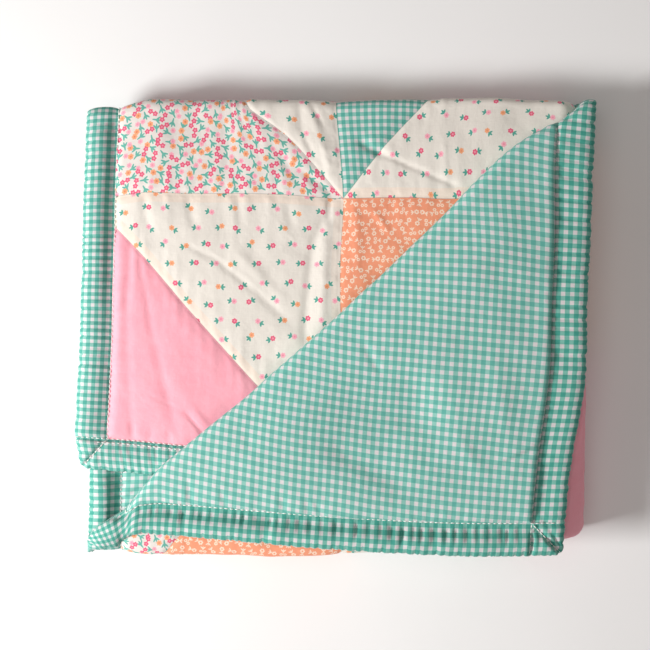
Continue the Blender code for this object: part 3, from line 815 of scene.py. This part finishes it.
def border_strip(name, side, materials):
    """One padded strip: side is the axis it runs along and which end of the quilt it is at."""
    axis, end = side
    size, width = (LENGTH, WIDTH) if axis == "v" else (WIDTH, LENGTH)
    rows, ring = round(size / STRIP_STEP), 2 * SECTION - 1
    # Across a strip, from the outer rim to the seam, the points lie closer together at both.
    share = 0.5 - 0.5 * np.cos(np.linspace(0.0, math.pi, SECTION))
    sign = np.repeat([1.0, -1.0], [SECTION, SECTION - 1])
    share, run = np.meshgrid(np.concatenate([share, share[-1:0:-1]]),
                             np.linspace(STRIP_TIP, size - STRIP_TIP, rows + 1))
    from_end = np.minimum(run, size - run)
    share = share * np.minimum(from_end / BORDER, 1.0)
    inset = share * (BORDER + STRIP_LAP)
    seed = {"v": 21, "u": 31}[axis] + (0 if end else 5)
    half, rim = strip_half(side, run, share, from_end, 1, seed)
    half = np.where(sign > 0, half, strip_half(side, run, share, from_end, -1, seed)[0])
    flat, offset = (width - inset, width - inset - rim) if end else (inset, inset + rim)
    u, v = (offset, run) if axis == "v" else (run, offset)
    points = lay(u.ravel(), v.ravel(), (sign * half).ravel())
    index = np.arange((rows + 1) * ring).reshape(rows + 1, ring)
    a, b = index[:-1], index[1:]
    quads = np.stack([a, np.roll(a, -1, 1), np.roll(b, -1, 1), b], axis=2).reshape(-1, 4)
    front, back = strip_print(side, flat, run, u, v, half)
    is_back = np.tile(np.arange(ring) >= SECTION - 1, rows)
    if (axis == "v") == bool(end):
        caps = index[0][::-1], index[-1]
    else:
        quads = quads[:, ::-1]
        caps = index[0], index[-1][::-1]
    face_uv = np.where(is_back[:, None, None], back[quads], front[quads])
    triangles = [quads[:, [0, 1, 2]], quads[:, [0, 2, 3]]]
    triangles += [np.array([[cap[0], cap[i], cap[i + 1]] for i in range(1, ring - 1)]) for cap in caps]
    face_uv = [face_uv[:, [0, 1, 2]], face_uv[:, [0, 2, 3]]] + [front[fan] for fan in triangles[2:]]
    cloths = np.concatenate([is_back, is_back, np.zeros(2 * (ring - 2), bool)])
    return cloth_mesh(name, points, np.concatenate(triangles), np.concatenate(face_uv), materials, cloths)


# ----------------------------------------
# Thread.
SEAM_THREAD = 0.0019  # height of the thread over the middle of the padding, in a seam
SUNK_THREAD = None  # in the seam that closes over its thread
THREAD_INSET = 0.0008  # how far inside a border seam its thread lies
SECOND_ROW = 0.0030  # how far outside the hem seam its second row of stitches lies, on the strip
HEM_ROW_LEVELS = (0.0028, 0.0042)  # that row's height, along the strip and over its ends
CROSSING_THREAD = CROSS_HALF + 0.0009
SEAM_STITCH = (0.0036, 0.0048)  # length of a stitch, and from one to the next
MITRE_STITCH = (0.0040, 0.0045)
MITRE_FROM = 0.12  # where a mitre's stitches start, as a share from its tip
STITCH_STRAY = 0.0002  # how far a stitch may stray along its row
THREAD_LIFT = 0.0005  # how far thread lies above a border's corner
THREAD_RADIUS = 0.00052
# A stitch's rings: place along it, girth and height, in shares of the length and of the radius.
STITCH_RINGS = (
    (0.0, 0.35, -0.6), (0.12, 0.85, 0.35), (0.5, 1.0, 0.75), (0.88, 0.85, 0.35), (1.0, 0.35, -0.6),
)


def thread_level(place, seam, crossing):
    """How high a stitch lies: over the padding in the border's corners, else as in its seam."""
    from_u, from_v = min(place[0], WIDTH - place[0]), min(place[1], LENGTH - place[1])
    if max(from_u, from_v) > BORDER + 0.0020:
        return seam
    return crossing * float(rim_profile(min(from_u, from_v) / BORDER)) + THREAD_LIFT


def stitch_run(start, end, face, levels, stitch, seed):
    """Straight line of running stitches: each is a start and an end in the flat drawing."""
    length, pitch = stitch
    start, end = np.array(start), np.array(end)
    size = np.linalg.norm(end - start)
    run = (end - start) / size
    chance = np.random.RandomState(seed)
    found = []
    for i in range(int(size / pitch)):
        middle = (i + 0.5) * pitch + chance.uniform(-STITCH_STRAY, STITCH_STRAY)
        half = 0.5 * length * chance.uniform(0.9, 1.1)
        surface = thread_level(start + run * middle, *levels)
        if surface is not None:
            found.append((start + run * (middle - half), start + run * (middle + half), face, surface))
    return found


def thread_mesh(name, stitches, material):
    sides = 6
    start, end, face, surface = (np.array(values) for values in zip(*stitches))
    part, girth, height = np.array(STITCH_RINGS).T[:, :, None]
    angles = np.arange(sides) * 2 * math.pi / sides
    run = (end - start) / np.linalg.norm(end - start, axis=1)[:, None]
    across = np.stack([-run[:, 1], run[:, 0]], axis=1)[:, None, None]
    middle = start[:, None] + (end - start)[:, None] * part
    ring = middle[:, :, None] + (np.cos(angles) * THREAD_RADIUS * girth)[:, :, None] * across
    w = face[:, None, None] * (surface[:, None, None] + THREAD_RADIUS * (height + girth * np.sin(angles)))
    points = lay(ring[..., 0].ravel(), ring[..., 1].ravel(), w.ravel())
    count = len(STITCH_RINGS)
    base = np.arange(len(stitches))[:, None, None] * (count * sides)
    first = base + np.arange(count - 1)[:, None] * sides
    a, b = first + np.arange(sides), first + (np.arange(sides) + 1) % sides
    quads = np.stack([a, b, b + sides, a + sides], axis=3).reshape(-1, 4)
    faces = [quads[:, [0, 1, 2]], quads[:, [0, 2, 3]]]
    for last, order in ((0, (0, 2, 1)), (count - 1, (0, 1, 2))):
        for i in range(1, sides - 1):
            faces.append((base[:, 0] + last * sides + np.array([0, i, i + 1]))[:, order])
    faces = np.concatenate(faces)
    facing = face[faces[:, 0] // (count * sides)]
    faces = np.where((facing > 0)[:, None], faces, faces[:, ::-1])
    return cloth_mesh(name, points, faces, points[faces][:, :, :2], [material])


def border_stitches():
    """Thread along the border seams, across the border's corners and along the mitres."""
    line = BORDER + THREAD_INSET
    inner_u, inner_v = WIDTH - line, LENGTH - line
    found, seed = [], 50
    for face in (1, -1):
        side_start = line if face > 0 else 0.0
        for start, end in (
            ((line, side_start), (line, LENGTH)), ((inner_u, LENGTH), (inner_u, side_start)),
            ((0.0, line), (WIDTH, line)), ((WIDTH, inner_v), (0.0, inner_v)),
        ):
            seed += 1
            seam = SUNK_THREAD if face < 0 and start[1] == inner_v else SEAM_THREAD
            found += stitch_run(start, end, face, (seam, CROSSING_THREAD), SEAM_STITCH, seed)
        for tip_u, seam_u in ((0.0, line), (WIDTH, inner_u)):
            for tip_v, seam_v in ((0.0, line), (LENGTH, inner_v)):
                seed += 1
                start = (tip_u + MITRE_FROM * (seam_u - tip_u), tip_v + MITRE_FROM * (seam_v - tip_v))
                found += stitch_run(start, (seam_u, seam_v), face, (None, MITRE_HALF), MITRE_STITCH, seed)
    second = BORDER - SECOND_ROW
    return found + stitch_run((0.0, second), (WIDTH, second), 1, HEM_ROW_LEVELS, SEAM_STITCH, seed + 1)


# ----------------------------------------
# Materials.  Every print is worked out from the place on the flat cloth, in metres.
SOFT_RIM = 0.00012  # how soft the outlines of printed flowers and leaves are
WEAVE_THREAD = 0.00042  # width of one thread of the weave
WEAVE_HEIGHT = 0.00006
SLUBS = (60.0, 1400.0)  # scale of the uneven threads, along them and across
CRUMPLE = (75.0, 0.0016)  # scale and height of the cloth's fine creases
SWITCH = 0.001  # half width of the step where one kind of motif gives way to another


class Field:
    """A value that a material's nodes work out at each point."""

    def __init__(self, tree, socket):
        self.tree, self.socket = tree, socket

    def math(self, operation, *others):
        return join(self.tree, "ShaderNodeMath", (self,) + others, operation=operation)

    __add__ = partialmethod(math, "ADD")
    __sub__ = partialmethod(math, "SUBTRACT")
    __mul__ = partialmethod(math, "MULTIPLY")
    __truediv__ = partialmethod(math, "DIVIDE")

    def __rsub__(self, other):
        return (self * -1.0) + other

    def step(self, low, high):
        """0 below low and 1 above high, with an eased slope between; or falling if high is less."""
        values = (self, min(low, high), max(low, high)) + ((0.0, 1.0) if low < high else (1.0, 0.0))
        return join(self.tree, "ShaderNodeMapRange", values, interpolation_type="SMOOTHSTEP")

    def below(self, limit, soft):
        return self.step(limit + soft, limit - soft)


def fill(tree, node, inputs):
    """Link a node's inputs to fields, or set them to plain values."""
    for key, value in inputs:
        if isinstance(value, Field):
            tree.links.new(value.socket, node.inputs[key])
        elif value is not None:
            node.inputs[key].default_value = value


def join(tree, kind, values=(), output=0, **settings):
    node = tree.nodes.new(kind)
    for key, value in settings.items():
        setattr(node, key, value)
    fill(tree, node, enumerate(values))
    return Field(tree, node.outputs[output])


def srgb(red, green, blue):
    values = (c / 255 for c in (red, green, blue))
    return tuple(((c + 0.055) / 1.055) ** 2.4 if c > 0.04 else c / 12.92 for c in values) + (1.0,)


def blend(under, over, share):
    node = share.tree.nodes.new("ShaderNodeMix")
    node.data_type = "RGBA"
    fill(share.tree, node, ((0, share), (6, under), (7, over)))
    return Field(share.tree, node.outputs[2])


def vector(tree, *values):
    return join(tree, "ShaderNodeCombineXYZ", values)


def shade(colour, factor):
    """A colour made lighter or darker by a number from the nodes."""
    grey = vector(factor.tree, factor, factor, factor)
    return join(factor.tree, "ShaderNodeVectorMath", (colour, grey), operation="MULTIPLY")


def mottle(place, scale, detail=2.0):
    return join(place.tree, "ShaderNodeTexNoise", (place, None, scale, detail))


def split(field):
    node = field.tree.nodes.new("ShaderNodeSeparateXYZ")
    field.tree.links.new(field.socket, node.inputs[0])
    return [Field(field.tree, output) for output in node.outputs]


def lattice(u, v, pitch, start, jitter, seed, swing=2 * math.pi):
    """Cells of a printed repeat, five rows high: each cell's own coordinates, and two numbers."""
    row_at = (v - start[1]) / pitch[1]
    row = row_at.math("FLOOR")
    column_at = (u - start[0]) / pitch[0] + (row * 0.4).math("FRACT")
    col = column_at.math("FLOOR")
    kind = (col * 0.382 + row * 0.618 + seed * 0.13).math("FRACT")
    cell = vector(u.tree, col.math("FLOORED_MODULO", 4.0), row.math("FLOORED_MODULO", 5.0), float(seed))
    a, b, c = split(join(u.tree, "ShaderNodeTexWhiteNoise", (cell,), output="Color"))
    x = (column_at - col - 0.5) * pitch[0] + (a - 0.5) * jitter
    y = (row_at - row - 0.5) * pitch[1] + (b - 0.5) * jitter
    turn = (c - 0.5) * swing
    cosine, sine = turn.math("COSINE"), turn.math("SINE")
    return x * cosine + y * sine, y * cosine - x * sine, kind, a


def flower(x, y, radius, petals, depth=0.11):
    """Masks of a small flower and of its eye."""
    distance = (x * x + y * y).math("SQRT")
    lobes = (y.math("ARCTAN2", x) * float(petals)).math("COSINE") * (depth * radius) + radius * (1.0 - depth)
    return (distance - lobes).below(0.0, SOFT_RIM), distance.below(0.34 * radius, SOFT_RIM)


def stroke(x, y, x0, y0, x1, y1, width):
    """Mask of a leaf or stem from one place to another, fuller in its outer half."""
    run_x, run_y = x1 - x0, y1 - y0
    size = run_x * run_x + run_y * run_y
    t = join(x.tree, "ShaderNodeClamp", ((x - x0) * (run_x / size) + (y - y0) * (run_y / size), 0.0, 1.0))
    off_x, off_y = x - x0 - t * run_x, y - y0 - t * run_y
    away = (off_x * off_x + off_y * off_y).math("SQRT")
    return (away - (t * (1.0 - t) * 1.6 + 0.6) * width).below(0.0, SOFT_RIM)


def any_of(first, *others):
    for mask in others:
        first = first.math("MAXIMUM", mask)
    return first


def sprig(x, y, size, width):
    """A stem that ends in three leaves."""
    return any_of(stroke(x, y, 0.0, -0.50 * size, 0.0, 0.50 * size, width),
                  stroke(x.math("ABSOLUTE"), y, 0.0, -0.08 * size, 0.38 * size, 0.36 * size, width))


def leaf_trio(x, y, size, width):
    """Three plump leaves that spread from one place along x."""
    return any_of(stroke(x, y, -0.20 * size, 0.0, size, 0.0, width),
                  stroke(x, y.math("ABSOLUTE"), 0.05 * size, 0.0, 0.50 * size, 0.72 * size, width))


# Ginghams: their white, mid and dark squares.
FRONT_GINGHAM = (srgb(222, 216, 217), srgb(139, 194, 183), srgb(88, 170, 157))
BACK_GINGHAM = (srgb(219, 215, 217), srgb(141, 196, 185), srgb(98, 175, 163))
# Painted shade: the borders use the front's and the backing's ginghams, printed deeper to stand for the
# shade in the strips' folds and gathers, the back's much more so.
BORDER_FRONT_SHADED = (srgb(220, 214, 216), srgb(135, 191, 180), srgb(80, 164, 150))
BORDER_BACK_SHADED = (srgb(214, 209, 211), srgb(121, 182, 169), srgb(68, 156, 141))
GREEN = srgb(88, 168, 152)
SPRIG_GREEN = srgb(106, 182, 167)
HOT_PINK = srgb(232, 98, 130)
SOFT_PINK = srgb(250, 176, 192)
PALE_PINK = srgb(252, 205, 212)
APRICOT = srgb(247, 172, 128)
EYE = srgb(222, 110, 92)
CREAM = srgb(233, 227, 218)
PEACH = srgb(243, 221, 203)
IVORY = srgb(231, 224, 218)
ORANGE = srgb(243, 158, 124)
DAISY = srgb(249, 219, 197)
PINK = srgb(255, 178, 192)
DEEPER_PINK = srgb(254, 172, 187)
THREAD = srgb(246, 244, 240)
THREAD_SHADE = srgb(214, 214, 210)
FLOOR_GREYS = ((0.90, 0.90, 0.90, 1.0), (0.93, 0.93, 0.93, 1.0))


def gingham(u, v, colours):
    """Woven check, given in checks: white, mid and dark squares."""
    white, mid, dark = colours
    across, down = ((place * (2 * math.pi)).math("SINE").step(-0.26, 0.06) for place in (u, v))
    return blend(blend(white, mid, any_of(across, down)), dark, across * down)


def paint_check(u, v, gaps):
    return gingham(u / FRONT_CHECK, v / FRONT_CHECK, FRONT_GINGHAM)


def paint_pink(u, v, gaps):
    return blend(DEEPER_PINK, PINK, mottle(vector(u.tree, u, v, 0.0), 60.0).step(0.3, 0.7))


def allowances(v, gaps):
    """Where the turned seam allowances show through the pale cloth."""
    diagonal, across, down = (gap.below(0.0085, 0.0004) for gap in gaps)
    lowest_row = v.below(ROW_SEAMS[1], 0.0001)
    return any_of(diagonal * lowest_row, across * lowest_row * 0.5, down) * 0.55


def paint_sprigs(u, v, gaps):
    """Cream with single small flowers, each with three green leaves at its side."""
    x, y, kind, other = lattice(u, v, (0.0206, 0.0172), (0.0, 0.0), 0.0060, 3, 1.7)
    x = x * (other.step(0.5 - SWITCH, 0.5 + SWITCH) * 2.0 - 1.0)
    whole, eye = flower(x + 0.0023, y, 0.0027, 6)
    hot, orange = kind.below(0.27, SWITCH), kind.step(0.64 - SWITCH, 0.64 + SWITCH)
    petals = blend(blend(SOFT_PINK, HOT_PINK, hot), APRICOT, orange)
    centre = blend(blend(HOT_PINK, PALE_PINK, hot), EYE, orange)
    colour = blend(CREAM, PEACH, allowances(v, gaps))
    colour = blend(colour, GREEN, leaf_trio(x - 0.0006, y + 0.0006, 0.0034, 0.00092))
    return blend(blend(colour, petals, whole), centre, eye * 0.45)


def paint_meadow(u, v, gaps):
    """Crowded flowers: hot pink pairs, apricot and soft pink rounds, and green sprigs."""
    u, v = u * 0.93 + v * 0.37, v * 0.93 - u * 0.37
    pitch = (0.0166, 0.0162)
    colour = IVORY
    for at_u, at_v, seed, size in ((0.50, 0.02, 11, 0.0080), (0.98, 0.50, 12, 0.0076)):
        x, y, _, _ = lattice(u, v, pitch, (at_u * pitch[0], at_v * pitch[1]), 0.0020, seed)
        colour = blend(colour, SPRIG_GREEN, sprig(x, y, size, 0.00092))
    for at, seed in ((0.0, 17), (0.5, 18)):
        x, y, kind, _ = lattice(u, v, pitch, (at * pitch[0], at * pitch[1]), 0.0022, seed, 2.3)
        pair, side = kind.below(0.50, SWITCH), x.step(-0.00001, 0.00001)
        rounds = pair * -1.0 + 1.0
        x = x.math("ABSOLUTE") - (pair * -0.00155 + 0.0041)
        scale = rounds * side * -0.14 + 1.02
        whole, eye = flower(x * scale, y * scale, 0.0027, 6)
        star, star_eye = flower(x * -1.0, y, 0.0027, 5, 0.13)
        colour = blend(colour, blend(SOFT_PINK, APRICOT, side), whole * rounds)
        colour = blend(colour, blend(HOT_PINK, EYE, side), eye * rounds * (side * 0.30 + 0.35))
        colour = blend(colour, HOT_PINK, star * pair)
        colour = blend(colour, PALE_PINK, star_eye * pair * 0.36)
    return colour


def paint_blossom(u, v, gaps):
    """Orange with cream ring daisies, single or in twos, each with a stem and two leaves."""
    x, y, kind, _ = lattice(u, v, (0.0097, 0.0094), (0.0, 0.0), 0.0013, 21)
    side = x.math("ABSOLUTE")
    stem = any_of(stroke(x, y, 0.0, -0.0004, 0.0, 0.0038, 0.00046),
                  stroke(side, y, 0.0, 0.0014, 0.0021, 0.0034, 0.00062))
    twin = kind.below(0.26, SWITCH)
    smaller = twin * 0.32 + 1.0
    near_x = x + (side - 0.0019 - x) * twin
    whole, eye = flower(near_x * smaller, (y + 0.0020) * smaller, 0.0025, 6, 0.10)
    return blend(blend(blend(ORANGE, DAISY, stem), DAISY, whole), ORANGE, eye)


def new_material(name):
    material = bpy.data.materials.new(name)
    material.use_nodes = True
    return material, material.node_tree, material.node_tree.nodes["Principled BSDF"]


def bumped(tree, height, strength, distance):
    node = tree.nodes.new("ShaderNodeBump")
    fill(tree, node, (("Strength", strength), ("Distance", distance), ("Height", height)))
    return Field(tree, node.outputs[0])


def cloth_material(name, paint, check=None):
    """Cotton: its print, its weave, slight slubs, and painted shade along the seams between patches."""
    material, tree, shader = new_material(name)
    u, v, _ = split(join(tree, "ShaderNodeUVMap", uv_map="cloth"))
    if check:
        in_checks, in_metres, colours = check
        colour = gingham(u / in_checks, v / in_checks, colours)
        u, v = u * in_metres, v * in_metres
    else:
        seams = join(tree, "ShaderNodeAttribute", output="Vector", attribute_name="seams")
        diagonal, across, down = split(seams)
        diagonal = diagonal.math("ABSOLUTE")
        nearest = diagonal.math("MINIMUM", across).math("MINIMUM", down)
        # Painted shade: within 0.7 mm of a seam the colour darkens to 70 %, for the shade in the seam's
        # crease.
        colour = shade(paint(u, v, (diagonal, across, down)), nearest.step(0.0, 0.0007) * 0.30 + 0.70)
    place = vector(tree, u, v, 0.0)
    long, fine = SLUBS
    slub_u = mottle(vector(tree, u * long, v * fine, 0.0), 1.0)
    slub_v = mottle(vector(tree, u * fine, v * long, 3.0), 1.0)
    vary = (slub_u + slub_v - 1.0) * 0.10 + (mottle(place, 22.0) - 0.5) * 0.05 + 1.0
    ridge_u, ridge_v = ((run * (math.pi / WEAVE_THREAD)).math("SINE") for run in (u, v))
    over = (ridge_u * ridge_v).step(-0.2, 0.2)
    weave = ridge_u.math("ABSOLUTE") * over + ridge_v.math("ABSOLUTE") * (1.0 - over)
    scale, depth = CRUMPLE
    height = weave * WEAVE_HEIGHT + mottle(place, scale, 3.0) * depth
    fill(tree, shader, (
        ("Base Color", shade(colour, vary)), ("Normal", bumped(tree, height, 0.55, 1.0)),
        ("Roughness", (slub_u - 0.5) * 0.10 + 0.82), ("Sheen Weight", 0.12), ("Sheen Roughness", 0.45),
        ("Specular IOR Level", 0.25),
    ))
    return material


def thread_material():
    material, tree, shader = new_material("cotton_thread")
    twist = mottle(join(tree, "ShaderNodeTexCoord", output="Object"), 900.0)
    colour = blend(THREAD_SHADE, THREAD, twist.step(0.35, 0.6))
    fill(tree, shader, (
        ("Base Color", colour), ("Normal", bumped(tree, twist, 0.4, 0.0002)), ("Roughness", 0.6),
    ))
    return material


def floor_material():
    material, tree, shader = new_material("pale_floor")
    cloudy = mottle(join(tree, "ShaderNodeTexCoord", output="Object"), 3.0)
    colour = blend(*FLOOR_GREYS, cloudy.step(0.3, 0.7))
    fill(tree, shader, (("Base Color", colour), ("Roughness", 0.9)))
    return material


# ----------------------------------------
# The pieces.
def keep(piece, node):
    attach(piece, "root")
    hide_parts(node)


PAINTERS = {
    "pink": paint_pink, "sprigs": paint_sprigs, "meadow": paint_meadow, "check": paint_check,
    "blossom": paint_blossom,
}
FABRICS = tuple(PAINTERS)
prints = [cloth_material("cotton_" + name, paint) for name, paint in PAINTERS.items()]
backing_cloth = cloth_material("cotton_backing_check", None, (BACK_CHECK, 1.0, BACK_GINGHAM))
# The border materials carry painted shade: deeper copies of the front and backing ginghams.
border_front_shaded = cloth_material("cotton_border_front_check", None, (1.0, FRONT_CHECK, BORDER_FRONT_SHADED))
border_back_shaded = cloth_material("cotton_border_back_check", None, (1.0, BACK_CHECK, BORDER_BACK_SHADED))

top = patchwork_top(prints)
keep(top, "quilt_panel")

backing = gingham_backing(backing_cloth)
keep(backing, "quilt_panel")

for name, side in (
    ("border_left", ("v", 0)), ("border_right", ("v", 1)),
    ("border_hem", ("u", 0)), ("border_corner_end", ("u", 1)),
):
    strip = border_strip("padded_" + name, side, [border_front_shaded, border_back_shaded])
    keep(strip, name)

stitches = thread_mesh("seam_stitches", border_stitches(), thread_material())
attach(stitches, "root")

# ----------------------------------------
# Floor, light and camera.
FLOOR_REACH = 4.0
FLOOR_GAP = 0.0005  # how far the floor lies below the quilt
# Lamps: name, place from the quilt's middle, size, power, colour.
LAMPS = (
    ("key", (-1.66, -0.52, 1.07), 0.56, 51.0, (1.0, 0.99, 0.98)),
    ("fill", (-0.2, 0.0, 1.9), 1.4, 6.0, (1.0, 0.98, 0.96)),
)
ROOM_COLOUR = (1.0, 0.90, 0.85, 1.0)
ROOM_STRENGTH = 0.22
SENSOR_WIDTH = 36.0  # millimetres, as is the lens
LENS = 82.8
CAMERA_PLACE = (-0.0087, 0.0011, 1.4992)  # from the quilt's middle in plan, and above its foot

low, high = cad_bounds
middle = (low + high) / 2


def placed(name, data):
    item = bpy.data.objects.new(name, data)
    bpy.context.scene.collection.objects.link(item)
    return item


floor_mesh = bpy.data.meshes.new("floor")
corners = ((-1, -1), (1, -1), (1, 1), (-1, 1))
floor_mesh.from_pydata([(FLOOR_REACH * i, FLOOR_REACH * j, 0) for i, j in corners], [], [(0, 1, 2, 3)])
floor_mesh.materials.append(floor_material())
floor = placed("floor", floor_mesh)
floor.location.z = low.z - FLOOR_GAP

for name, offset, size, power, colour in LAMPS:
    light = bpy.data.lights.new(name, "AREA")
    light.size, light.energy, light.color = size, power, colour
    lamp = placed(name, light)
    lamp.location = middle + Vector(offset)
    lamp.rotation_euler = (middle - lamp.location).to_track_quat("-Z", "Y").to_euler()

world = bpy.data.worlds.new("room")
world.use_nodes = True
background = world.node_tree.nodes["Background"]
background.inputs["Color"].default_value = ROOM_COLOUR
background.inputs["Strength"].default_value = ROOM_STRENGTH
bpy.context.scene.world = world

lens = bpy.data.cameras.new("camera")
lens.sensor_width = SENSOR_WIDTH
lens.lens = LENS
camera = placed("camera", lens)
camera.location = Vector((middle.x, middle.y, low.z)) + Vector(CAMERA_PLACE)
bpy.context.scene.camera = camera
bpy.context.scene.view_settings.view_transform = "Standard"
